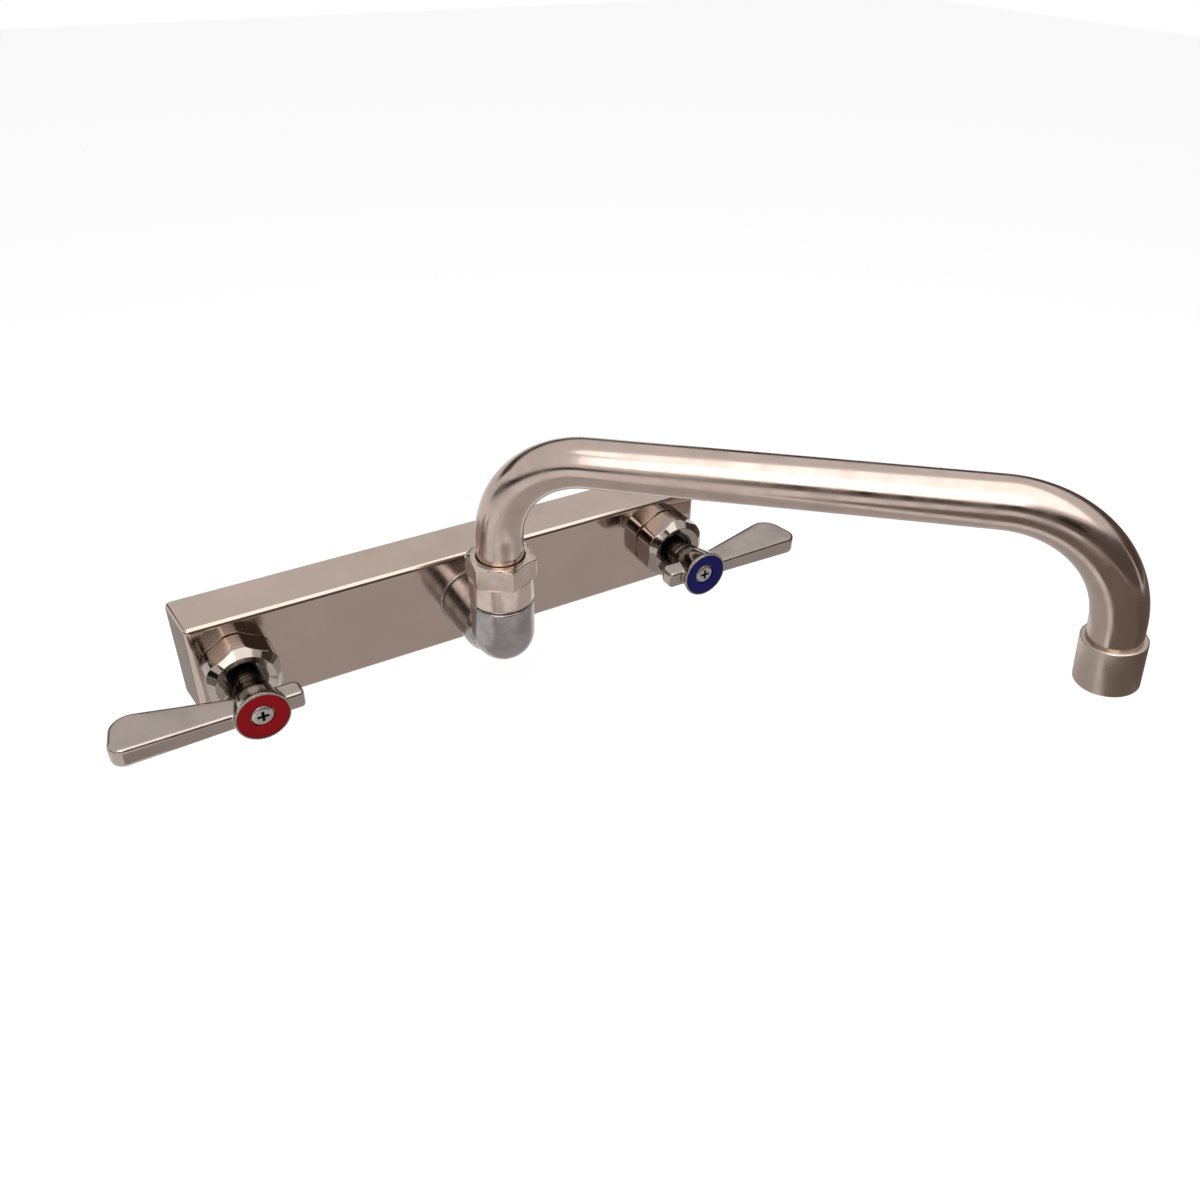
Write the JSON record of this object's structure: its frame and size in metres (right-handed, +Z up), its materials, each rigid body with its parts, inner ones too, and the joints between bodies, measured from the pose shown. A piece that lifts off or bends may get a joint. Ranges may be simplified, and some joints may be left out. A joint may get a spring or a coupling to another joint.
{
  "type": "commercial wall faucet",
  "caption": "Wall-mounted sink faucet with quarter-turn levers at both ends of a slim pressed cover and a long bent spout that swings on a nut above the middle.",
  "frame": {"origin": "on the wall plane, midway between the two valves and at the height of their axes", "axes": "+X along the wall to the right seen from the front, +Y into the wall, +Z up"},
  "size_m": [0.33, 0.2308, 0.1266],
  "materials": {
    "polished_cover": "pressed and polished nickel-chrome sheet",
    "polished_chrome": "turned and polished nickel-chrome plate",
    "satin_lever": "die cast, satin plated",
    "satin_nut": "satin plated with polished chamfer",
    "satin_tube": "drawn tube, finely polished along its length",
    "satin_collar": "turned, satin",
    "cast_elbow": "cast, tumbled to a cool satin",
    "cast_brass": "cast, unplated inside the cover",
    "turned_brass": "turned",
    "copper_tube": "drawn copper tube",
    "ceramic": "lapped alumina ceramic",
    "black_rubber": "moulded",
    "red_index": "moulded, glossy",
    "blue_index": "moulded, glossy",
    "stainless_screw": "cold headed, plain",
    "grey_plastic": "moulded"
  },
  "bodies": {
    "root": {"body_cover": "polished_cover", "hot_valve_body": "cast_brass", "cold_valve_body": "cast_brass", "center_tee": "cast_brass", "hot_crossover": "copper_tube", "cold_crossover": "copper_tube", "hot_bonnet": "polished_chrome", "cold_bonnet": "polished_chrome", "hot_cartridge": "turned_brass", "cold_cartridge": "turned_brass", "hot_cartridge_seal": "black_rubber", "cold_cartridge_seal": "black_rubber", "hot_seat_washer": "black_rubber", "cold_seat_washer": "black_rubber", "hot_fixed_disc": "ceramic", "cold_fixed_disc": "ceramic", "spout_elbow": "cast_elbow", "elbow_washer": "polished_chrome", "swivel_nut": "satin_nut"},
    "hot_handle": {"hot_moving_disc": "ceramic", "hot_stem": "polished_chrome", "hot_stem_seal": "black_rubber", "hot_lever": "satin_lever", "hot_index": "red_index", "hot_screw": "stainless_screw"},
    "cold_handle": {"cold_moving_disc": "ceramic", "cold_stem": "polished_chrome", "cold_stem_seal": "black_rubber", "cold_lever": "satin_lever", "cold_index": "blue_index", "cold_screw": "stainless_screw"},
    "spout": {"spout_spigot": "turned_brass", "spigot_seals": "black_rubber", "spout_tube": "satin_tube", "outlet_collar": "satin_collar", "outlet_washer": "black_rubber", "aerator": "grey_plastic"}
  },
  "joints": [
    {"name": "hot_handle_turn", "type": "hinge", "parent": "root", "child": "hot_handle", "pos_m": [-0.1016, -0.05, 0], "axis": [0, -1, 0], "range_deg": [0, 90]},
    {"name": "cold_handle_turn", "type": "hinge", "parent": "root", "child": "cold_handle", "pos_m": [0.1016, -0.05, 0], "axis": [0, 1, 0], "range_deg": [0, 90]},
    {"name": "spout_swing", "type": "hinge", "parent": "root", "child": "spout", "pos_m": [0, -0.0568, 0.03], "axis": [0, 0, 1], "range_deg": [-145, 55]}
  ]
}
